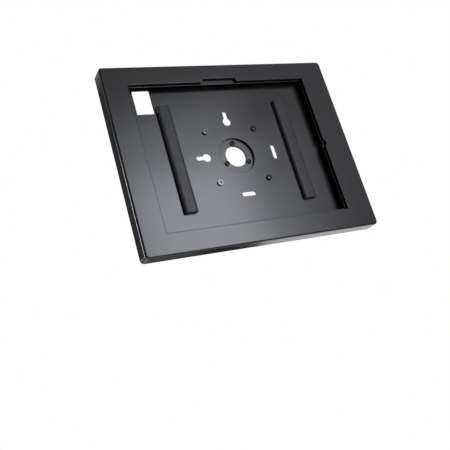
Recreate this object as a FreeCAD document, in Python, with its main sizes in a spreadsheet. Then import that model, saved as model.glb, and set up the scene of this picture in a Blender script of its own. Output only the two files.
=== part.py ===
import FreeCAD, Part
import math
import os
import Sketcher
from FreeCAD import Vector, Rotation, Placement

# A lockable steel case for a 12.9 inch tablet, shown empty.
# X runs to the right seen from the front, Z up the case, Y from the window to the back.
# The origin is the middle of the 75 mm screw square on the back of the mounting plate.

doc = FreeCAD.newDocument("tablet_enclosure")
sheet = doc.addObject("Spreadsheet::Sheet", "dims")

DRIVING_SIZES = {
    # cover: one folded sheet with the window
    "cover_depth": 20.5,
    "cover_gauge": 1.5,
    "bend_outer": 2.5,
    "corner_round": 5.0,
    "window_width": 271.5,
    "window_height": 208.0,
    "window_rise": 3.0,
    "border_left": 34.0,
    "border_right": 40.5,
    "border_top": 27.25,
    "border_bottom": 27.25,
    "notch_width": 49.0,
    "notch_flare": 2.0,
    "notch_depth": 5.2,
    "peep_radius": 5.3,
    "peep_inset": 1.7,
    "peep_drop": 1.7,
    # two tabs of the plate work as the hinge in two slots of the cover
    "hinge_spread": 200.0,
    "cut_margin": 1.0,
    "tab_length": 7.6,
    "slot_play": 1.35,
    "slot_end_play": 0.5,
    "tab_recess": 0.7,
    # bezel: a thin ring behind the window, on studs and foam
    "bezel_gauge": 0.8,
    "bezel_gap": 2.7,
    "bezel_lip": 2.1,
    "bezel_band_side": 16.5,
    "bezel_band_long": 22.5,
    "eye_radius": 3.5,
    "eye_inset": 0.8,
    "stud_radius": 1.5,
    "stud_height": 6.0,
    "stud_clearance": 0.2,
    "stud_edge": 4.0,
    "stud_spread": 240.0,
    "nut_flats": 5.5,
    "nut_height": 2.4,
    "strip_width": 6.0,
    "strip_setback": 1.0,
    "strip_gap": 1.0,
    # mounting plate: a shallow tray with flanges to the back
    "plate_depth": 14.0,
    "plate_gauge": 1.5,
    "side_play": 0.8,
    "hinge_play": 1.2,
    "flange_proud": 0.5,
    "flange_setback": 8.0,
    "screw_square": 75.0,
    "clinch_shank_radius": 3.2,
    "clinch_head_radius": 3.9,
    "clinch_head_height": 2.0,
    "thread_radius": 1.65,
    "camera_side_inset": 9.15,
    "camera_top_inset": 2.0,
    "camera_width": 24.6,
    "camera_height": 35.5,
    "camera_round": 1.5,
    "keyhole_head_radius": 6.0,
    "wall_slot_radius": 3.0,
    "key_top_head": 50.9,
    "key_top_end": 63.7,
    "key_left_head": 45.3,
    "key_left_end": 58.1,
    "slot_right_offset": 58.3,
    "slot_bottom_offset": 57.2,
    "slot_travel": 14.5,
    # hub: a pressed dish with a ring behind it
    "dish_radius": 26.0,
    "dish_depth": 3.4,
    "hub_bore_radius": 15.5,
    "hub_ring_radius": 26.0,
    "hub_ring_height": 2.0,
    "hub_circle": 38.6,
    "hub_screw_count": 3,
    "hub_screw_radius": 2.0,
    "hub_screw_clearance": 0.25,
    "hub_head_radius": 3.6,
    "hub_head_height": 1.3,
    "hub_socket_flats": 2.5,
    "hub_socket_depth": 0.9,
    # soft pads on the plate
    "pad_width": 19.0,
    "pad_length": 154.0,
    "pad_height": 5.5,
    "pad_spread": 180.0,
    "pad_rise": 2.0,
    "pad_round": 1.8,
    "pad_bevel": 1.2,
    # cam lock under the wide border
    "lock_inset": 18.75,
    "lock_rise": 0.0,
    "barrel_radius": 6.5,
    "barrel_flat": 5.8,
    "barrel_length": 8.5,
    "barrel_clearance": 0.2,
    "lock_head_radius": 9.0,
    "lock_head_height": 2.0,
    "plug_radius": 4.8,
    "plug_clearance": 0.3,
    "cam_play": 0.3,
    "key_slot_length": 5.2,
    "key_slot_width": 1.2,
    "key_slot_depth": 4.0,
    "lock_nut_flats": 15.0,
    "lock_nut_height": 2.5,
    "cam_gauge": 1.5,
    "cam_reach": 13.0,
    "cam_width": 9.0,
    "cam_screw_radius": 1.5,
    "cam_screw_grip": 4.0,
    "cam_head_radius": 2.8,
    "cam_head_height": 1.4,
    "catch_gauge": 1.5,
    "catch_length": 28.0,
    "catch_lip": 9.5,
    "catch_height": 6.5,
    "catch_play": 1.3,
}

WORKED_OUT = {
    "face_y": "-plate_depth - plate_gauge",
    "face_back_y": "face_y + cover_gauge",
    "cover_rear_y": "face_y + cover_depth",
    "plate_front_y": "-plate_gauge",
    "cover_left": "-window_width / 2 - border_left",
    "cover_right": "window_width / 2 + border_right",
    "cover_top": "window_rise + window_height / 2 + border_top",
    "cover_bottom": "window_rise - window_height / 2 - border_bottom",
    "peep_height": "window_rise - peep_drop",
    "bezel_front_y": "face_back_y + bezel_gap",
    "bezel_back_y": "bezel_front_y + bezel_gauge",
    "bezel_side": "window_width / 2 - bezel_lip",
    "bezel_half_height": "window_height / 2 - bezel_lip",
    "stud_half_height": "bezel_half_height + bezel_band_long - stud_edge",
    "plate_left": "cover_left + cover_gauge + hinge_play",
    "plate_right": "cover_right - cover_gauge - side_play",
    "plate_top": "cover_top - cover_gauge - side_play",
    "plate_bottom": "cover_bottom + cover_gauge + side_play",
    "plate_rear_y": "cover_rear_y + flange_proud",
    "camera_left": "-window_width / 2 + camera_side_inset",
    "camera_top": "window_rise + window_height / 2 - camera_top_inset",
    "dish_floor_y": "plate_front_y + dish_depth",
    "dish_back_y": "dish_floor_y + plate_gauge",
    "lock_offset": "cover_right - lock_inset",
    "barrel_end_y": "-plate_gauge - barrel_length",
    "cam_back_y": "barrel_end_y - cam_play",
    "catch_front_y": "cam_back_y + catch_play",
    "pad_front_y": "plate_front_y - pad_height",
}

# two places count as one when they are nearer than this, and a corner edge is longer than the next, in mm
SAME_PLACE = 0.01
SHORTEST_CORNER = 0.5

row = 0
for name, size in list(DRIVING_SIZES.items()) + list(WORKED_OUT.items()):
    row += 1
    sheet.set("A%d" % row, name)
    sheet.set("B%d" % row, str(size) if name in DRIVING_SIZES else "=" + size)
    sheet.setAlias("B%d" % row, name)
doc.recompute()


def sized(expression):
    """Writes an expression of size names the way the document reads it."""
    words = []
    word = ""
    for letter in expression + " ":
        if letter.isalnum() or letter == "_":
            word += letter
            continue
        if word[:1].isalpha() and word not in ("sin", "cos", "sqrt"):
            word = "dims." + word
        words.append(word + letter)
        word = ""
    return "".join(words).strip()


def value(expression):
    """The present number of an expression of size names."""
    return float(sheet.evalExpression(sized(expression)))


def bind(item, prop, expression):
    item.setExpression(prop, sized(expression))


def body(label):
    part = doc.addObject("PartDesign::Body", label)
    part.Label = label
    return part


def front_sketch(part, name, y):
    """A sketch square to Y at the depth y; its own axes are X and Z."""
    sketch = part.newObject("Sketcher::SketchObject", name)
    plane = [p for p in part.Origin.OriginFeatures if p.Role == "XZ_Plane"][0]
    sketch.AttachmentSupport = [(plane, "")]
    sketch.MapMode = "FlatFace"
    bind(sketch, "AttachmentOffset.Base.z", "-(%s)" % y)
    return sketch


def tie(sketch, kind, geometry, point, expression):
    """Holds one point of a sketch at a sized distance from the origin."""
    number = sketch.addConstraint(Sketcher.Constraint(kind, -1, 1, geometry, point, value(expression)))
    bind(sketch, "Constraints[%d]" % number, expression)


def rectangle(sketch, left, bottom, right, top):
    x = [value(left), value(right)]
    z = [value(bottom), value(top)]
    corners = [Vector(x[0], z[0], 0), Vector(x[1], z[0], 0), Vector(x[1], z[1], 0), Vector(x[0], z[1], 0)]
    first = sketch.GeometryCount
    for i in range(4):
        sketch.addGeometry(Part.LineSegment(corners[i], corners[(i + 1) % 4]), False)
    for i in range(4):
        sketch.addConstraint(Sketcher.Constraint("Coincident", first + i, 2, first + (i + 1) % 4, 1))
    for i, direction in enumerate(("Horizontal", "Vertical", "Horizontal", "Vertical")):
        sketch.addConstraint(Sketcher.Constraint(direction, first + i))
    tie(sketch, "DistanceX", first, 1, left)
    tie(sketch, "DistanceY", first, 1, bottom)
    tie(sketch, "DistanceX", first + 2, 1, right)
    tie(sketch, "DistanceY", first + 2, 1, top)


def rounded_rectangle(sketch, left, bottom, right, top, radius):
    """A rectangle whose corners are quarter arcs of one radius."""
    x = [value(left), value(right)]
    z = [value(bottom), value(top)]
    bend = value(radius)
    centres = [(x[1] - bend, z[0] + bend), (x[1] - bend, z[1] - bend),
               (x[0] + bend, z[1] - bend), (x[0] + bend, z[0] + bend)]
    first = sketch.GeometryCount
    for i, (cx, cz) in enumerate(centres):
        start = (i - 1) * math.pi / 2
        before = centres[i - 1]
        turn = Vector(math.cos(start), math.sin(start), 0) * bend
        line = Part.LineSegment(Vector(before[0], before[1], 0) + turn, Vector(cx, cz, 0) + turn)
        sketch.addGeometry(line, False)
        round_part = Part.Circle(Vector(cx, cz, 0), Vector(0, 0, 1), bend)
        sketch.addGeometry(Part.ArcOfCircle(round_part, start, start + math.pi / 2), False)
    for i in range(4):
        line = first + 2 * i
        sketch.addConstraint(Sketcher.Constraint("Tangent", line, 2, line + 1, 1))
        sketch.addConstraint(Sketcher.Constraint("Tangent", line + 1, 2, first + (2 * i + 2) % 8, 1))
        sketch.addConstraint(Sketcher.Constraint("Vertical" if i % 2 else "Horizontal", line))
    for i in range(1, 4):
        sketch.addConstraint(Sketcher.Constraint("Equal", first + 1, first + 1 + 2 * i))
    number = sketch.addConstraint(Sketcher.Constraint("Radius", first + 1, bend))
    bind(sketch, "Constraints[%d]" % number, radius)
    tie(sketch, "DistanceY", first, 1, bottom)
    tie(sketch, "DistanceX", first + 2, 1, right)
    tie(sketch, "DistanceY", first + 4, 1, top)
    tie(sketch, "DistanceX", first + 6, 1, left)


def polygon(sketch, points):
    """A closed outline through points, each a pair of expressions."""
    place = [Vector(value(x), value(z), 0) for x, z in points]
    first = sketch.GeometryCount
    count = len(points)
    for i in range(count):
        sketch.addGeometry(Part.LineSegment(place[i], place[(i + 1) % count]), False)
    for i in range(count):
        sketch.addConstraint(Sketcher.Constraint("Coincident", first + i, 2, first + (i + 1) % count, 1))
    for i, (x, z) in enumerate(points):
        tie(sketch, "DistanceX", first + i, 1, x)
        tie(sketch, "DistanceY", first + i, 1, z)


def circle(sketch, x, z, radius):
    centre = Vector(value(x), value(z), 0)
    geometry = sketch.addGeometry(Part.Circle(centre, Vector(0, 0, 1), value(radius)), False)
    number = sketch.addConstraint(Sketcher.Constraint("Radius", geometry, value(radius)))
    bind(sketch, "Constraints[%d]" % number, radius)
    tie(sketch, "DistanceX", geometry, 3, x)
    tie(sketch, "DistanceY", geometry, 3, z)


def pad(part, name, sketch, length, to_back=True):
    """Adds material from the sketch, towards the back or towards the window."""
    feature = part.newObject("PartDesign::Pad", name)
    feature.Profile = sketch
    bind(feature, "Length", length)
    feature.Reversed = to_back
    return feature


def pocket(part, name, sketch, length, to_back=True):
    """Cuts from the sketch, towards the back or towards the window."""
    feature = part.newObject("PartDesign::Pocket", name)
    feature.Profile = sketch
    bind(feature, "Length", length)
    feature.Reversed = not to_back
    doc.recompute()
    if feature.Shape.Volume >= feature.BaseFeature.Shape.Volume - 1e-6:
        raise ValueError("%s of %s cuts nothing" % (name, part.Label))
    return feature


def round_edges(part, name, radius, chosen):
    """Rounds the edges of the newest feature that the test picks."""
    doc.recompute()
    base = part.Tip
    picked = ["Edge%d" % (i + 1) for i, edge in enumerate(base.Shape.Edges) if chosen(edge)]
    feature = part.newObject("PartDesign::Fillet", name)
    feature.Base = (base, picked)
    bind(feature, "Radius", radius)
    doc.recompute()
    return feature


def along_depth(edge):
    """True for a straight edge that runs from front to back."""
    box = edge.BoundBox
    return box.YLength > SHORTEST_CORNER and box.XLength < SAME_PLACE and box.ZLength < SAME_PLACE


def at_depth(edge, y):
    box = edge.BoundBox
    return abs(box.YMin - y) < SAME_PLACE and abs(box.YMax - y) < SAME_PLACE


def corner_test(left, bottom, right, top):
    """Picks the four front-to-back edges at the corners of a rectangle."""
    xs = (value(left), value(right))
    zs = (value(bottom), value(top))

    def chosen(edge):
        if not along_depth(edge):
            return False
        centre = edge.BoundBox.Center
        at_side = min(abs(centre.x - x) for x in xs) < SAME_PLACE
        return at_side and min(abs(centre.z - z) for z in zs) < SAME_PLACE
    return chosen


def place(item, x, y, z, axis=None, angle=0):
    """Puts a primitive at sized coordinates, with its own Z along the given turn."""
    if axis is not None:
        item.Placement = Placement(Vector(0, 0, 0), Rotation(axis, angle))
    bind(item, "Placement.Base.x", x)
    bind(item, "Placement.Base.y", y)
    bind(item, "Placement.Base.z", z)
    return item


def rod(name, radius, height, x, y, z):
    """A cylinder whose axis runs to the back from the point given."""
    item = doc.addObject("Part::Cylinder", name)
    bind(item, "Radius", radius)
    bind(item, "Height", height)
    return place(item, x, y, z, Vector(1, 0, 0), -90)


def hexagon(name, flats, height, x, y, z):
    """A six-sided bar whose axis runs to the back from the point given."""
    item = doc.addObject("Part::Prism", name)
    item.Polygon = 6
    bind(item, "Circumradius", "(%s) / sqrt(3)" % flats)
    bind(item, "Height", height)
    return place(item, x, y, z, Vector(1, 0, 0), -90)


def block(name, left, front, bottom, width, depth, height):
    item = doc.addObject("Part::Box", name)
    bind(item, "Length", width)
    bind(item, "Width", depth)
    bind(item, "Height", height)
    return place(item, left, front, bottom)


def joined(name, items):
    item = doc.addObject("Part::MultiFuse", name)
    item.Shapes = items
    return item


def cut(name, base, tool):
    item = doc.addObject("Part::Cut", name)
    item.Base = base
    item.Tool = tool
    return item


def group(name, items):
    """Like fasteners, kept as separate solids in one sub-part."""
    item = doc.addObject("Part::Compound", name)
    item.Links = items
    return item


def front_cover():
    """The folded cover: a face with the window and four walls to the back."""
    cover = body("front_cover")
    outline = front_sketch(cover, "cover_outline", "face_y")
    rounded_rectangle(outline, "cover_left", "cover_bottom", "cover_right", "cover_top", "corner_round")
    pad(cover, "cover_block", outline, "cover_depth")
    round_edges(cover, "cover_bend", "bend_outer", lambda edge: at_depth(edge, value("face_y")))
    inside = front_sketch(cover, "cover_inside", "cover_rear_y")
    rounded_rectangle(inside, "cover_left + cover_gauge", "cover_bottom + cover_gauge",
                      "cover_right - cover_gauge", "cover_top - cover_gauge", "corner_round - cover_gauge")
    pocket(cover, "cover_hollow", inside, "cover_depth - cover_gauge", to_back=False)
    window = front_sketch(cover, "window_outline", "face_y")
    left = "-window_width / 2"
    right = "window_width / 2"
    bottom = "window_rise - window_height / 2"
    top = "window_rise + window_height / 2"
    shoulder = "window_rise + window_height / 2 + notch_depth"
    polygon(window, [(left, bottom), (right, bottom), (right, top),
                     ("notch_width / 2 + notch_flare", top), ("notch_width / 2", shoulder),
                     ("-notch_width / 2", shoulder), ("-notch_width / 2 - notch_flare", top), (left, top)])
    pocket(cover, "window", window, "cover_gauge")
    peeps = front_sketch(cover, "peep_outline", "face_y")
    circle(peeps, "-window_width / 2 + peep_inset", "peep_height", "peep_radius")
    circle(peeps, "window_width / 2 - peep_inset", "peep_height", "peep_radius")
    pocket(cover, "camera_notches", peeps, "cover_gauge")
    slots = front_sketch(cover, "hinge_slot_outline", "plate_front_y - slot_play")
    for side in ("window_rise - hinge_spread / 2", "window_rise + hinge_spread / 2"):
        rectangle(slots, "cover_left - cut_margin", side + " - tab_length / 2 - slot_end_play",
                  "cover_left + cover_gauge + cut_margin", side + " + tab_length / 2 + slot_end_play")
    pocket(cover, "hinge_slots", slots, "plate_gauge + 2 * slot_play")
    return cover


def inner_bezel():
    """The thin ring that frames the screen, a step behind the window."""
    bezel = body("inner_bezel")
    outline = front_sketch(bezel, "bezel_outline", "bezel_front_y")
    rectangle(outline, "-bezel_side - bezel_band_side", "window_rise - bezel_half_height - bezel_band_long",
              "bezel_side + bezel_band_side", "window_rise + bezel_half_height + bezel_band_long")
    rectangle(outline, "-bezel_side", "window_rise - bezel_half_height",
              "bezel_side", "window_rise + bezel_half_height")
    pad(bezel, "bezel_ring", outline, "bezel_gauge")
    eyes = front_sketch(bezel, "eye_outline", "bezel_front_y")
    circle(eyes, "-bezel_side + eye_inset", "peep_height", "eye_radius")
    circle(eyes, "bezel_side - eye_inset", "peep_height", "eye_radius")
    pocket(bezel, "camera_eyes", eyes, "bezel_gauge")
    holes = front_sketch(bezel, "stud_hole_outline", "bezel_front_y")
    for x, z in stud_places():
        circle(holes, x, z, "stud_radius + stud_clearance")
    pocket(bezel, "stud_holes", holes, "bezel_gauge")
    return bezel


def stud_places():
    """Two studs above the window and two below, outside the tablet's edge."""
    places = []
    for sign in ("-", "+"):
        for along in ("-stud_spread / 2", "stud_spread / 2"):
            places.append((along, "window_rise %s stud_half_height" % sign))
    return places


def bezel_fixings():
    """Weld studs inside the face, and the nuts that hold the bezel on them."""
    studs = []
    nuts = []
    for i, (x, z) in enumerate(stud_places()):
        studs.append(rod("stud_%d" % i, "stud_radius", "stud_height", x, "face_back_y", z))
        blank = hexagon("nut_blank_%d" % i, "nut_flats", "nut_height", x, "bezel_back_y", z)
        bore = rod("nut_bore_%d" % i, "stud_radius", "nut_height", x, "bezel_back_y", z)
        nuts.append(cut("nut_%d" % i, blank, bore))
    return [group("bezel_studs", studs), group("bezel_nuts", nuts)]


def foam_strips():
    """Four foam strips that fill the step between the face and the bezel."""
    side = "(window_width / 2 + strip_setback)"
    high = "(window_height / 2 + notch_depth + strip_setback)"
    strips = []
    sides = (("foam_strip_left", "-%s - strip_width" % side, "-window_width / 2 + peep_inset"),
             ("foam_strip_right", side, "window_width / 2 - peep_inset"))
    for name, left, peep in sides:
        strip = block(name + "_blank", left, "face_back_y", "window_rise - %s + strip_gap" % high,
                      "strip_width", "bezel_gap", "2 * %s - 2 * strip_gap" % high)
        gap_radius = "peep_radius + strip_setback"
        gap = rod(name + "_gap", gap_radius, "bezel_gap", peep, "face_back_y", "peep_height")
        strips.append(cut(name, strip, gap))
    for name, bottom in (("foam_strip_top", "window_rise + " + high),
                         ("foam_strip_bottom", "window_rise - %s - strip_width" % high)):
        strips.append(block(name, "-%s - strip_width" % side, "face_back_y", bottom,
                            "2 * (%s + strip_width)" % side, "bezel_gap", "strip_width"))
    return strips


def back_plate():
    """The mounting plate with its flanges, hinge tabs, dish and cut-outs."""
    plate = body("back_plate")
    outline = front_sketch(plate, "plate_outline", "plate_front_y")
    rectangle(outline, "plate_left + flange_setback", "plate_bottom", "plate_right", "plate_top")
    pad(plate, "plate_block", outline, "plate_rear_y - plate_front_y")
    round_edges(plate, "plate_corners", "corner_round - cover_gauge",
                corner_test("plate_right", "plate_bottom", "plate_right", "plate_top"))

    def bend(edge):
        beyond_hinge = edge.BoundBox.XMax > value("plate_left + flange_setback") + SAME_PLACE
        return at_depth(edge, value("plate_front_y")) and beyond_hinge
    round_edges(plate, "plate_bend", "bend_outer", bend)
    hollow = front_sketch(plate, "plate_inside", "plate_rear_y")
    rectangle(hollow, "plate_left + flange_setback - cut_margin", "plate_bottom + plate_gauge",
              "plate_right - plate_gauge", "plate_top - plate_gauge")
    pocket(plate, "plate_hollow", hollow, "plate_rear_y", to_back=False)
    margin = front_sketch(plate, "hinge_edge_outline", "plate_front_y")
    rectangle(margin, "plate_left", "plate_bottom + bend_outer", "plate_left + flange_setback + cut_margin",
              "plate_top - bend_outer")
    pad(plate, "hinge_edge", margin, "plate_gauge")
    tabs = front_sketch(plate, "tab_outline", "plate_front_y")
    for side in ("window_rise - hinge_spread / 2", "window_rise + hinge_spread / 2"):
        rectangle(tabs, "cover_left + tab_recess", side + " - tab_length / 2",
                  "plate_left + cut_margin", side + " + tab_length / 2")
    pad(plate, "hinge_tabs", tabs, "plate_gauge")
    dish = front_sketch(plate, "dish_back_outline", "0")
    circle(dish, "0", "0", "dish_radius + plate_gauge")
    pad(plate, "dish_back", dish, "dish_back_y")
    hollow = front_sketch(plate, "dish_outline", "plate_front_y")
    circle(hollow, "0", "0", "dish_radius")
    pocket(plate, "dish", hollow, "dish_depth")
    rounds = front_sketch(plate, "round_holes", "plate_front_y")
    circle(rounds, "0", "0", "hub_bore_radius")
    for x in ("-screw_square / 2", "screw_square / 2"):
        for z in ("-screw_square / 2", "screw_square / 2"):
            circle(rounds, x, z, "clinch_shank_radius")
    circle(rounds, "0", "key_top_head", "keyhole_head_radius")
    circle(rounds, "0", "key_top_end", "wall_slot_radius")
    circle(rounds, "-key_left_head", "0", "keyhole_head_radius")
    circle(rounds, "-key_left_end", "0", "wall_slot_radius")
    for sign in ("-", "+"):
        circle(rounds, "slot_right_offset", "0 %s slot_travel / 2" % sign, "wall_slot_radius")
        circle(rounds, "0 %s slot_travel / 2" % sign, "-slot_bottom_offset", "wall_slot_radius")
    circle(rounds, "lock_offset", "lock_rise", "barrel_radius + barrel_clearance")
    for x, z in hub_screw_places():
        circle(rounds, x, z, "hub_screw_radius + hub_screw_clearance")
    pocket(plate, "holes", rounds, "dish_depth + plate_gauge")
    straights = front_sketch(plate, "straight_cuts", "plate_front_y")
    rectangle(straights, "-wall_slot_radius", "key_top_head", "wall_slot_radius", "key_top_end")
    rectangle(straights, "-key_left_end", "-wall_slot_radius", "-key_left_head", "wall_slot_radius")
    rectangle(straights, "slot_right_offset - wall_slot_radius", "-slot_travel / 2",
              "slot_right_offset + wall_slot_radius", "slot_travel / 2")
    rectangle(straights, "-slot_travel / 2", "-slot_bottom_offset - wall_slot_radius",
              "slot_travel / 2", "-slot_bottom_offset + wall_slot_radius")
    pocket(plate, "slots", straights, "plate_gauge")
    camera = front_sketch(plate, "camera_outline", "plate_front_y")
    rounded_rectangle(camera, "camera_left", "camera_top - camera_height", "camera_left + camera_width",
                      "camera_top", "camera_round")
    pocket(plate, "camera_opening", camera, "plate_gauge")
    return plate


def hub_screw_places():
    """The hub's screws, evenly round the bore from the top one."""
    places = []
    for i in range(int(value("hub_screw_count"))):
        turn = "(360 * %d / hub_screw_count)" % i
        places.append(("hub_circle / 2 * sin(%s)" % turn, "hub_circle / 2 * cos(%s)" % turn))
    return places


def hub():
    """The ring behind the dish, and the socket screws that hold it."""
    ring = body("hub_ring")
    outline = front_sketch(ring, "hub_ring_outline", "dish_back_y")
    circle(outline, "0", "0", "hub_ring_radius")
    circle(outline, "0", "0", "hub_bore_radius")
    pad(ring, "hub_ring_disc", outline, "hub_ring_height")
    holes = front_sketch(ring, "hub_ring_holes", "dish_back_y")
    for x, z in hub_screw_places():
        circle(holes, x, z, "hub_screw_radius")
    pocket(ring, "hub_threads", holes, "hub_ring_height")
    screws = []
    for i, (x, z) in enumerate(hub_screw_places()):
        front = "dish_floor_y - hub_head_height"
        head = rod("hub_head_%d" % i, "hub_head_radius", "hub_head_height", x, front, z)
        shank_length = "plate_gauge + hub_ring_height"
        shank = rod("hub_shank_%d" % i, "hub_screw_radius", shank_length, x, "dish_floor_y", z)
        socket = hexagon("hub_socket_%d" % i, "hub_socket_flats", "hub_socket_depth", x, front, z)
        screws.append(cut("hub_screw_%d" % i, joined("hub_screw_blank_%d" % i, [head, shank]), socket))
    return [ring, group("hub_screws", screws)]


def clinch_nuts():
    """Four threaded nuts pressed into the plate from the tablet's side."""
    nuts = []
    for i, (sx, sz) in enumerate((("-", "-"), ("", "-"), ("", ""), ("-", ""))):
        x = sx + "screw_square / 2"
        z = sz + "screw_square / 2"
        head = rod("clinch_head_%d" % i, "clinch_head_radius", "clinch_head_height", x,
                   "plate_front_y - clinch_head_height", z)
        shank = rod("clinch_shank_%d" % i, "clinch_shank_radius", "plate_gauge", x, "plate_front_y", z)
        bore = rod("clinch_bore_%d" % i, "thread_radius", "clinch_head_height + plate_gauge", x,
                   "plate_front_y - clinch_head_height", z)
        nuts.append(cut("clinch_nut_%d" % i, joined("clinch_blank_%d" % i, [head, shank]), bore))
    return group("clinch_nuts", nuts)


def foam_pad(label, centre):
    """A soft pad that presses the tablet against the bezel."""
    cushion = body(label)
    outline = front_sketch(cushion, label + "_outline", "pad_front_y")
    edges = (centre + " - pad_width / 2", "pad_rise - pad_length / 2",
             centre + " + pad_width / 2", "pad_rise + pad_length / 2")
    rectangle(outline, *edges)
    pad(cushion, label + "_block", outline, "pad_height")
    round_edges(cushion, label + "_ends", "pad_round", corner_test(*edges))
    base = cushion.Tip
    front = value("pad_front_y")
    rim = ["Edge%d" % (i + 1) for i, edge in enumerate(base.Shape.Edges) if at_depth(edge, front)]
    bevel = cushion.newObject("PartDesign::Chamfer", label + "_bevel")
    bevel.Base = (base, rim)
    bind(bevel, "Size", "pad_bevel")
    return cushion


def lock():
    """The cam lock: its housing, nut, turning plug, cam and cam screw."""
    x = "lock_offset"
    z = "lock_rise"
    barrel_length = "barrel_length + plate_gauge"
    head = rod("lock_head", "lock_head_radius", "lock_head_height", x, "0", z)
    barrel = rod("lock_barrel", "barrel_radius", barrel_length, x, "barrel_end_y", z)
    flats = block("lock_flats", x + " - barrel_flat", "barrel_end_y", z + " - barrel_radius",
                  "2 * barrel_flat", barrel_length, "2 * barrel_radius")
    flat_barrel = doc.addObject("Part::Common", "lock_flat_barrel")
    flat_barrel.Base = barrel
    flat_barrel.Tool = flats
    plug_hole = rod("lock_plug_hole", "plug_radius + plug_clearance", barrel_length + " + lock_head_height",
                    x, "barrel_end_y", z)
    housing = cut("lock_housing", joined("lock_housing_blank", [head, flat_barrel]), plug_hole)
    nut_front = "plate_front_y - lock_nut_height"
    nut_blank = hexagon("lock_nut_blank", "lock_nut_flats", "lock_nut_height", x, nut_front, z)
    nut_bore = rod("lock_nut_bore", "barrel_radius", "lock_nut_height", x, nut_front, z)
    nut = cut("lock_nut", nut_blank, nut_bore)
    plug_length = barrel_length + " + cam_play + lock_head_height"
    plug_body = rod("lock_plug_body", "plug_radius", plug_length, x, "cam_back_y", z)
    key_slot = block("lock_key_slot", x + " - key_slot_width / 2", "lock_head_height - key_slot_depth",
                     z + " - key_slot_length / 2", "key_slot_width", "key_slot_depth", "key_slot_length")
    screw_hole = rod("plug_screw_hole", "cam_screw_radius", "cam_screw_grip", x, "cam_back_y", z)
    plug = cut("lock_plug", plug_body, joined("lock_plug_cuts", [key_slot, screw_hole]))
    cam_front = "cam_back_y - cam_gauge"
    cam_hub = rod("cam_hub", "cam_width / 2", "cam_gauge", x, cam_front, z)
    cam_arm = block("cam_arm", x + " - cam_width / 2", cam_front, z, "cam_width", "cam_gauge", "cam_reach")
    cam_hole = rod("cam_hole", "cam_screw_radius", "cam_gauge", x, cam_front, z)
    cam = cut("lock_cam", joined("cam_blank", [cam_hub, cam_arm]), cam_hole)
    head_front = cam_front + " - cam_head_height"
    screw_head = rod("cam_screw_head", "cam_head_radius", "cam_head_height", x, head_front, z)
    screw_shank = rod("cam_screw_shank", "cam_screw_radius", "cam_gauge + cam_screw_grip", x, cam_front, z)
    screw = joined("cam_screw", [screw_head, screw_shank])
    return [housing, nut, plug, cam, screw]


def lock_catch():
    """The bracket on the cover's right wall that the cam reaches behind."""
    catch = body("lock_catch")
    foot = front_sketch(catch, "catch_foot_outline", "catch_front_y + catch_gauge")
    low = "lock_rise - catch_length / 2"
    high = "lock_rise + catch_length / 2"
    rectangle(foot, "cover_right - cover_gauge - catch_gauge", low, "cover_right - cover_gauge", high)
    pad(catch, "catch_foot", foot, "catch_height", to_back=False)
    lip = front_sketch(catch, "catch_lip_outline", "catch_front_y")
    rectangle(lip, "cover_right - cover_gauge - catch_lip", low, "cover_right - cover_gauge", high)
    pad(catch, "catch_lip_plate", lip, "catch_gauge")
    return catch


sub_parts = [front_cover(), inner_bezel(), back_plate(), clinch_nuts(), lock_catch()]
sub_parts += bezel_fixings()
sub_parts += foam_strips()
sub_parts += hub()
sub_parts += [foam_pad("foam_pad_left", "-pad_spread / 2"), foam_pad("foam_pad_right", "pad_spread / 2")]
sub_parts += lock()
doc.recompute()

for item in doc.Objects:
    if "Invalid" in item.State or "Error" in item.State:
        raise ValueError("%s failed: %s" % (item.Label, item.State))
for part in sub_parts:
    if part.Shape.isNull() or not part.Shape.isValid():
        raise ValueError("%s has no valid shape" % part.Label)

os.makedirs("parts", exist_ok=True)
for part in sub_parts:
    part.Shape.exportStep("parts/%s.step" % part.Label)
    print("%-18s %d solids, %.1f cm3" % (part.Label, len(part.Shape.Solids), part.Shape.Volume / 1000))
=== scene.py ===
import math

import bmesh
import bpy
from mathutils import Euler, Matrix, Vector


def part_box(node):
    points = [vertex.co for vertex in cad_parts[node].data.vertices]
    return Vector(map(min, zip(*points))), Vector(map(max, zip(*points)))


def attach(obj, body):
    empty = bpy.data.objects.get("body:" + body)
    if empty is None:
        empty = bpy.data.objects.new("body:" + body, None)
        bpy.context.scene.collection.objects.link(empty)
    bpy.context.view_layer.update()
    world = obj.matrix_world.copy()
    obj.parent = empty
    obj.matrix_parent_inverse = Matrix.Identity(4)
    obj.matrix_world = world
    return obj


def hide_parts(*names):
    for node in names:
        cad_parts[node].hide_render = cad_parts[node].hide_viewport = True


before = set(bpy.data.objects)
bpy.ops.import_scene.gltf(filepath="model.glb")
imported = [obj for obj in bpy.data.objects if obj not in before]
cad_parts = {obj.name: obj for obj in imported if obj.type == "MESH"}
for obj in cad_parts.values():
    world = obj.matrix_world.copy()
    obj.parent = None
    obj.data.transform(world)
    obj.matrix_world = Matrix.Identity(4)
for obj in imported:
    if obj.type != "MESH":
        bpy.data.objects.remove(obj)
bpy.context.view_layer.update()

MM = 0.001

# Front cover
# A mild steel sheet, laser cut, folded on all four sides, corner welded and ground smooth, then powder
# coated satin black. It swings on two slots in its left wall that hook over tabs of the mounting plate.


def linear(hex_colour):
    """An sRGB hex value as the linear colour that the shader wants."""
    channels = [int(hex_colour[i:i + 2], 16) / 255 for i in (1, 3, 5)]
    return [c / 12.92 if c <= 0.04045 else ((c + 0.055) / 1.055) ** 2.4 for c in channels] + [1.0]


def add_node(tree, kind, links=(), **settings):
    """Adds one shader node. Its sockets' values go by name, its links as (socket, from node, output)."""
    node = tree.nodes.new(kind)
    for key, setting in settings.items():
        socket = key.replace("_", " ")
        if hasattr(node, key):
            setattr(node, key, setting)
        else:
            node.inputs[socket].default_value = setting
    for socket, source, output in links:
        tree.links.new(source.outputs[output], node.inputs[socket])
    return node


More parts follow.
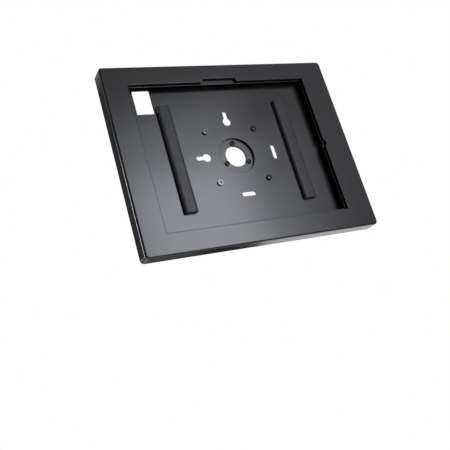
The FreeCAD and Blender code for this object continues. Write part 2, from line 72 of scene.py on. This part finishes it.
def new_material(name):
    """An empty material, its node tree, and object coordinates, which here are metres in the row frame."""
    material = bpy.data.materials.new(name)
    material.use_nodes = True
    tree = material.node_tree
    tree.nodes.clear()
    return material, tree, add_node(tree, "ShaderNodeTexCoord")


def finish_material(tree, surface):
    """Joins the last shader to the material's output."""
    add_node(tree, "ShaderNodeOutputMaterial", links=[("Surface", surface, 0)])


def per_metre(size_mm):
    """A texture scale whose features are about that many millimetres wide."""
    return 1.0 / (size_mm * MM)


def noise(tree, place, size_mm, **settings):
    """Noise on the object, with features about that many millimetres wide."""
    return add_node(tree, "ShaderNodeTexNoise", links=[("Vector", place, "Object")],
                    Scale=per_metre(size_mm), **settings)


def two_tones(tree, texture, dark, pale, start=0.0, end=1.0):
    """A ramp from one hex colour to another, driven by a noise."""
    ramp = add_node(tree, "ShaderNodeValToRGB", links=[("Fac", texture, "Fac")])
    first, last = ramp.color_ramp.elements
    first.position = start
    first.color = linear(dark)
    last.position = end
    last.color = linear(pale)
    return ramp


def satin_powder_coat(name, edge_mm):
    """Satin black polyester powder on steel: nearly all that shows is the coat's own reflection. Cured
    powder flows out to a soft orange peel, drawn about twice as coarse as the real 0.5 mm so that it shows,
    and it builds up round cut edges, which then carry a thin line of light; thin patches are a shade
    browner. The reflection is a shade blue, as it is under daylight lamps."""
    peel_mm = 1.1
    cloud_mm = 38.0
    material, tree, place = new_material(name)
    cloud = noise(tree, place, cloud_mm, Detail=3.0, Roughness=0.55)
    tint = two_tones(tree, cloud, "#0c0c0d", "#100f10", 0.35, 0.70)
    peel = noise(tree, place, peel_mm, Detail=2.0, Roughness=0.5)
    gloss = add_node(tree, "ShaderNodeMapRange", links=[("Value", peel, "Fac")],
                     From_Min=0.3, From_Max=0.7, To_Min=0.18, To_Max=0.20)
    build_up = add_node(tree, "ShaderNodeBevel", samples=6, Radius=edge_mm * MM)
    bump = add_node(tree, "ShaderNodeBump", links=[("Height", peel, "Fac"), ("Normal", build_up, "Normal")],
                    Strength=0.03, Distance=0.02 * MM)
    shader = add_node(tree, "ShaderNodeBsdfPrincipled", IOR=1.40, Specular_Tint=linear("#f2f5ff"),
                      links=[("Base Color", tint, "Color"), ("Roughness", gloss, "Result"),
                             ("Normal", bump, "Normal")])
    finish_material(tree, shader)
    return material


def paint(material, *names):
    """Gives CAD nodes the finish; their shapes stay as they are."""
    for name in names:
        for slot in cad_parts[name].material_slots:
            slot.material = material


powder_coat = satin_powder_coat("satin_black_powder_coat", 0.8)
paint(powder_coat, "front_cover")


# Inner bezel and lock catch
# A thinner ring of the same coated sheet, a step behind the window, which frames the screen. Its cut edge is
# sharper, as the sheet is thinner. Four weld studs and nuts hold it, out of sight behind the face. The
# lock's catch is coated like it.
thin_coat = satin_powder_coat("satin_black_powder_coat_thin", 0.6)
paint(thin_coat, "inner_bezel", "lock_catch")


# Mounting plate and hub ring
# The coated tray that carries the tablet: flanges folded to the back, a pressed dish for the hub, keyholes
# and slots for wall screws. The ring behind the dish is coated like it.
paint(powder_coat, "back_plate", "hub_ring")


# Clinch nuts, studs, nuts and cam
# Turned, cold formed and punched steel, zinc plated and passivated black. The clinch nuts are pressed in
# after the powder coat, so their plating shows.


def black_zinc():
    """Black passivated zinc on steel: a dark mirror with a faint olive cast, so a nut goes from black to
    white with what it faces."""
    ring_mm = 0.35
    material, tree, place = new_material("black_zinc_plate")
    rings = noise(tree, place, ring_mm, Detail=2.0)
    tint = two_tones(tree, rings, "#303133", "#3b3c3c")
    gloss = add_node(tree, "ShaderNodeMapRange", links=[("Value", rings, "Fac")], To_Min=0.07, To_Max=0.12)
    bump = add_node(tree, "ShaderNodeBump", links=[("Height", rings, "Fac")],
                    Strength=0.15, Distance=0.02 * MM)
    shader = add_node(tree, "ShaderNodeBsdfPrincipled", Metallic=1.0,
                      links=[("Base Color", tint, "Color"), ("Roughness", gloss, "Result"),
                             ("Normal", bump, "Normal")])
    finish_material(tree, shader)
    return material


paint(black_zinc(), "clinch_nuts", "bezel_studs", "bezel_nuts", "lock_cam", "cam_screw")


# Hub screws
# Three socket head screws with black oxide, which hold the hub ring behind the dish. They are darker and
# duller than the plated nuts round them.


def black_oxide():
    """Oiled black oxide on steel: a thin dark conversion layer that leaves the metal's own gloss."""
    grain_mm = 0.5
    material, tree, place = new_material("black_oxide_steel")
    grain = noise(tree, place, grain_mm, Detail=3.0)
    tint = two_tones(tree, grain, "#121213", "#1c1c1d")
    shader = add_node(tree, "ShaderNodeBsdfPrincipled", Metallic=1.0, Roughness=0.30,
                      links=[("Base Color", tint, "Color")])
    finish_material(tree, shader)
    return material


paint(black_oxide(), "hub_screws")


# Cam lock
# A die cast zinc lock body and plug with satin nickel plate, held by a steel nut from the tablet's side.
# The key slot is in its round rear face.


def satin_nickel():
    """Satin nickel plate: a warm grey metal, brushed before plating, with soft broad highlights."""
    brush_mm = 0.3
    material, tree, place = new_material("satin_nickel_plate")
    brush = noise(tree, place, brush_mm, Detail=2.0)
    tint = two_tones(tree, brush, "#a29e98", "#c2beb6")
    gloss = add_node(tree, "ShaderNodeMapRange", links=[("Value", brush, "Fac")], To_Min=0.24, To_Max=0.4)
    shader = add_node(tree, "ShaderNodeBsdfPrincipled", Metallic=1.0,
                      links=[("Base Color", tint, "Color"), ("Roughness", gloss, "Result")])
    finish_material(tree, shader)
    return material


paint(satin_nickel(), "lock_housing", "lock_nut", "lock_plug")


# Foam pads
# Two strips of black closed-cell foam with a skin, cut from sheet and stuck to the plate. They press the
# tablet forward against the bezel, so their edges are softly rounded and their sides bow a little.


def closed_cell_foam():
    """Black EVA foam with its moulded skin: a fine cell structure and shallow dents under a faint sheen, so
    light falls off softly over the rounded edges."""
    cell_mm = 0.7
    dent_mm = 9.0
    material, tree, place = new_material("black_closed_cell_foam")
    cells = add_node(tree, "ShaderNodeTexVoronoi", links=[("Vector", place, "Object")],
                     Scale=per_metre(cell_mm))
    dents = noise(tree, place, dent_mm, Detail=4.0, Roughness=0.6)
    tint = two_tones(tree, dents, "#2c2d30", "#37383a", 0.3, 0.7)
    height = add_node(tree, "ShaderNodeMath", operation="ADD",
                      links=[(0, cells, "Distance"), (1, dents, "Fac")])
    bump = add_node(tree, "ShaderNodeBump", links=[("Height", height, "Value")],
                    Strength=0.25, Distance=0.25 * MM)
    shader = add_node(tree, "ShaderNodeBsdfPrincipled", Roughness=0.22, IOR=1.19,
                      links=[("Base Color", tint, "Color"), ("Normal", bump, "Normal")])
    finish_material(tree, shader)
    return material


foam = closed_cell_foam()


def soft_block(name, low, high, step, rounds, bow):
    """A closed block of foam between two corners, meshed in squares of about one step. Its edges are rounded
    by so much along X, Y and Z. Its rear face, toward +Y, is stuck down, and the four sides round it bow in
    by bow."""
    # The block starts as a unit cube, where a point farther out than this lies on a side.
    near_side = 0.49
    size = [high[i] - low[i] for i in range(3)]
    counts = [max(2, round(length / step)) for length in size]
    mesh = bmesh.new()
    bmesh.ops.create_cube(mesh, size=1.0)
    for axis in range(3):
        across = [edge for edge in mesh.edges if abs((edge.verts[0].co - edge.verts[1].co)[axis]) > 0.5]
        bmesh.ops.subdivide_edges(mesh, edges=across, cuts=counts[axis] - 1, use_grid_fill=True)
    half = Vector(size) / 2
    middle = Vector([(low[i] + high[i]) / 2 for i in range(3)])
    for vertex in mesh.verts:
        at = Vector([vertex.co[i] * size[i] for i in range(3)])
        inner = Vector([max(-(half[i] - rounds[i]), min(half[i] - rounds[i], at[i])) for i in range(3)])
        if at.y > 0:
            inner.y = at.y
        out = Vector([(at[i] - inner[i]) / rounds[i] for i in range(3)])
        if out.length > 1:
            out.normalize()
        at = inner + Vector([out[i] * rounds[i] for i in range(3)])
        height = 0.5 - vertex.co.y
        for i in (0, 2):
            if abs(vertex.co[i]) > near_side:
                at[i] -= math.copysign(bow * math.sin(math.pi * height), vertex.co[i])
        vertex.co = middle + at
    bmesh.ops.recalc_face_normals(mesh, faces=mesh.faces)
    data = bpy.data.meshes.new(name)
    mesh.to_mesh(data)
    mesh.free()
    for face in data.polygons:
        face.use_smooth = True
    piece = bpy.data.objects.new(name, data)
    bpy.context.collection.objects.link(piece)
    return piece


pad_step = 0.9 * MM
pad_rounds = (4.2 * MM, 2.8 * MM, 1.0 * MM)
pad_bow = 0.15 * MM
for side in ("left", "right"):
    low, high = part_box("foam_pad_" + side)
    cushion = soft_block("foam_cushion_" + side, low, high, pad_step, pad_rounds, pad_bow)
    cushion.data.materials.append(foam)
    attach(cushion, "root")
    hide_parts("foam_pad_" + side)


# Foam strips
# Four narrow strips of the same foam, which fill the step between the face and the bezel and keep light
# and dust out. The side strips are cut back round the small holes of the cover.


def cut_back(strip, inner_face, outer_face):
    """Moves a side strip's foam out of the round cut-out beside a small hole of the cover, as its solid has
    it. The strip's inner face is at the window and its outer face at the wall. The cut-out is part of a
    circle whose centre lies centre_offset toward the window from the inner face."""
    cutout_height = 1.3 * MM
    cutout_radius = 6.3 * MM
    centre_offset = 2.7 * MM
    width = abs(outer_face - inner_face)
    outward = math.copysign(1.0, outer_face - inner_face)
    for vertex in strip.data.vertices:
        half_chord_squared = cutout_radius ** 2 - (vertex.co.z - cutout_height) ** 2
        cut = math.sqrt(max(0.0, half_chord_squared)) - centre_offset
        if cut > 0:
            depth = abs(vertex.co.x - inner_face)
            vertex.co.x = inner_face + outward * (cut + depth * (width - cut) / width)


strip_step = 1.5 * MM
strip_rounds = (0.4 * MM, 0.4 * MM, 0.4 * MM)
strip_bow = 0.2 * MM
for side in ("left", "right", "top", "bottom"):
    low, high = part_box("foam_strip_" + side)
    strip = soft_block("foam_seal_" + side, low, high, strip_step, strip_rounds, strip_bow)
    if side == "left":
        cut_back(strip, high[0], low[0])
    if side == "right":
        cut_back(strip, low[0], high[0])
    strip.data.materials.append(foam)
    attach(strip, "cover")
    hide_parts("foam_strip_" + side)


# Camera
# A still camera at the left and below the case, at the viewing angle of the photograph. Its place, turn and
# lens come from the fit to the photograph's known points.
camera_turn = (110.087, 15.278, -22.403)
camera_data = bpy.data.cameras.new("camera")
camera = bpy.data.objects.new("camera", camera_data)
bpy.context.collection.objects.link(camera)
camera.location = (-0.4685, -0.7702, -0.3447)
camera.rotation_euler = Euler([math.radians(angle) for angle in camera_turn], "XYZ")
camera_data.lens = 57.15
camera_data.sensor_width = 36.0
camera_data.shift_x = 0.0462
camera_data.shift_y = -0.0869
camera_data.clip_start = 0.01
bpy.context.scene.camera = camera


# Studio
# A white floor well below the held case, a white backdrop and a dim room. A tall soft box at the front right
# and a strip at the left rear do the lighting, because a glossy black coat shows only what it mirrors.
WHITE = (1.0, 1.0, 1.0, 1.0)
floor_drop = 0.95
floor_size = 14.0
floor_grain_mm = 60.0


def mirrored_rays(tree, paths):
    """1 for the rays that glossy and clear surfaces send out, so that they meet the white background too."""
    return add_node(tree, "ShaderNodeMath", operation="MAXIMUM",
                    links=[(0, paths, "Is Glossy Ray"), (1, paths, "Is Transmission Ray")])


bpy.ops.mesh.primitive_plane_add(size=floor_size, location=(0.0, 0.0, -floor_drop))
floor = bpy.context.object
floor.name = "studio_floor"
# To the camera the floor glows a little short of white, and the light that falls on it makes up the rest.
# So it is white where it is lit, and the object's shadow stays.
camera_glow = 0.8
floor_paint, tree, place = new_material("matte_white_floor")
grain = noise(tree, place, floor_grain_mm)
tint = two_tones(tree, grain, "#efefed", "#f3f3f1")
matte = add_node(tree, "ShaderNodeBsdfDiffuse", links=[("Color", tint, "Color")])
paths = add_node(tree, "ShaderNodeLightPath")
mirrored = mirrored_rays(tree, paths)
lift = add_node(tree, "ShaderNodeMapRange", links=[("Value", paths, "Is Camera Ray")], To_Max=camera_glow)
glow = add_node(tree, "ShaderNodeEmission", links=[("Strength", lift, "Result")], Color=WHITE)
shadowed = add_node(tree, "ShaderNodeAddShader", links=[(0, matte, "BSDF"), (1, glow, "Emission")])
white = add_node(tree, "ShaderNodeEmission", Strength=1.0, Color=WHITE)
pale = add_node(tree, "ShaderNodeMixShader",
                links=[(0, mirrored, "Value"), (1, shadowed, "Shader"), (2, white, "Emission")])
finish_material(tree, pale)
floor.data.materials.append(floor_paint)

# The room itself is dim and grows lighter overhead; only what is seen of it, or mirrored, is white.
world = bpy.data.worlds.new("studio_room")
bpy.context.scene.world = world
world.use_nodes = True
tree = world.node_tree
tree.nodes.clear()
paths = add_node(tree, "ShaderNodeLightPath")
way = add_node(tree, "ShaderNodeTexCoord")
parts = add_node(tree, "ShaderNodeSeparateXYZ", links=[("Vector", way, "Generated")])
above = add_node(tree, "ShaderNodeMapRange", links=[("Value", parts, "Z")], From_Min=0.35, From_Max=1.0,
                 To_Min=0.05, To_Max=0.5, interpolation_type="SMOOTHSTEP")
room = add_node(tree, "ShaderNodeBackground", links=[("Strength", above, "Result")],
                Color=linear("#f2f4f8"))
backdrop = add_node(tree, "ShaderNodeBackground", Strength=1.0, Color=WHITE)
mirrored = mirrored_rays(tree, paths)
seen = add_node(tree, "ShaderNodeMath", operation="MAXIMUM",
                links=[(0, paths, "Is Camera Ray"), (1, mirrored, "Value")])
mixed = add_node(tree, "ShaderNodeMixShader",
                 links=[(0, seen, "Value"), (1, room, "Background"), (2, backdrop, "Background")])
add_node(tree, "ShaderNodeOutputWorld", links=[("Surface", mixed, 0)])


def face_case(thing, azimuth, elevation, distance):
    """Puts a lamp or card at that distance from the case, turned to face it. The angles are in degrees, and
    azimuth is to the right of the way the face looks."""
    turn = math.radians(azimuth)
    rise = math.radians(elevation)
    level = math.cos(rise)
    toward = Vector((math.sin(turn) * level, -math.cos(turn) * level, math.sin(rise)))
    thing.location = toward * distance
    thing.rotation_euler = toward.to_track_quat("Z", "Y").to_euler()


def soft_box(name, azimuth, elevation, distance, width, height_m, radiance):
    """A rectangular lamp that faces the case and that no camera sees. A radiance of 1 is white."""
    lamp_data = bpy.data.lights.new(name, "AREA")
    lamp_data.shape = "RECTANGLE"
    lamp_data.size = width
    lamp_data.size_y = height_m
    lamp_data.energy = radiance * math.pi * width * height_m
    lamp = bpy.data.objects.new(name, lamp_data)
    face_case(lamp, azimuth, elevation, distance)
    lamp.visible_camera = False
    bpy.context.collection.objects.link(lamp)


# Each lamp's azimuth, elevation, distance, width, height and radiance.
soft_box("front_box", 22.9, 0.0, 1.5, 0.46, 1.14, 10.2)
soft_box("front_box_skirt", 22.9, 24.5, 1.5, 0.48, 0.22, 3.2)
soft_box("front_box_edge", 35.5, 1.0, 1.5, 0.20, 1.15, 2.1)
soft_box("left_strip", -124.0, 2.0, 1.5, 0.50, 1.05, 20.0)
soft_box("rear_low_box", 138.0, -14.0, 1.5, 0.55, 0.30, 0.5)
soft_box("rear_top_box", 190.0, 55.0, 1.6, 1.00, 0.60, 1.0)


def dark_card(name, azimuth, elevation, distance, width, height_m, finish):
    """A card that keeps the white room out of the coat's reflections on one side. No camera sees it, and it
    casts no shadow, so the floor shows only the object's own."""
    bpy.ops.mesh.primitive_plane_add(size=1.0)
    card = bpy.context.object
    card.name = name
    face_case(card, azimuth, elevation, distance)
    card.scale = (width, height_m, 1.0)
    card.visible_camera = False
    card.visible_shadow = False
    card.data.materials.append(finish)


def flock(name, dark, pale):
    """Flocked paper, which is matte from every side."""
    nap_mm = 25.0
    material, tree, place = new_material(name)
    nap = noise(tree, place, nap_mm)
    tint = two_tones(tree, nap, dark, pale)
    finish_material(tree, add_node(tree, "ShaderNodeBsdfDiffuse", links=[("Color", tint, "Color")]))
    return material


# Each card's azimuth, elevation, distance, width and height. The gap card darkens one stretch of the cover's
# bottom wall. The two nut cards darken the two right nuts of the plate and, more faintly, the sheet there.
pale_flock = flock("pale_flock_card", "#8a8a8b", "#929293")
grey_flock = flock("grey_flock_card", "#404041", "#464647")
black_flock = flock("black_flock_card", "#070707", "#0a0a0a")
dark_card("rear_left_card", 205.0, 17.5, 1.4, 1.1, 0.78, grey_flock)
dark_card("rear_low_card", 168.0, -17.0, 1.4, 0.91, 0.34, grey_flock)
dark_card("rear_gap_card", 155.0, -20.0, 1.3, 0.13, 0.36, black_flock)
dark_card("rear_floor_card", 138.0, -52.0, 1.4, 1.50, 0.85, black_flock)
dark_card("rear_corner_card", 197.0, -13.0, 1.4, 0.50, 0.60, grey_flock)
dark_card("front_left_card", -35.0, 10.0, 1.4, 1.60, 1.60, grey_flock)
dark_card("front_low_card", 50.0, -52.0, 1.4, 2.40, 1.50, black_flock)
dark_card("right_card", 104.0, 12.0, 1.4, 1.60, 1.60, pale_flock)
dark_card("overhead_card", 20.0, 82.0, 1.4, 1.50, 1.20, grey_flock)
dark_card("nut_card_low", 34.6, 17.7, 1.4, 0.10, 0.08, black_flock)
dark_card("nut_card_high", 34.6, 24.9, 1.4, 0.10, 0.08, black_flock)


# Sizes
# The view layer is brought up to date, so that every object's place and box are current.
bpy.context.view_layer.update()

# Standard adds no tone curve, so the white background stays white.
scene = bpy.context.scene
scene.view_settings.view_transform = "Standard"
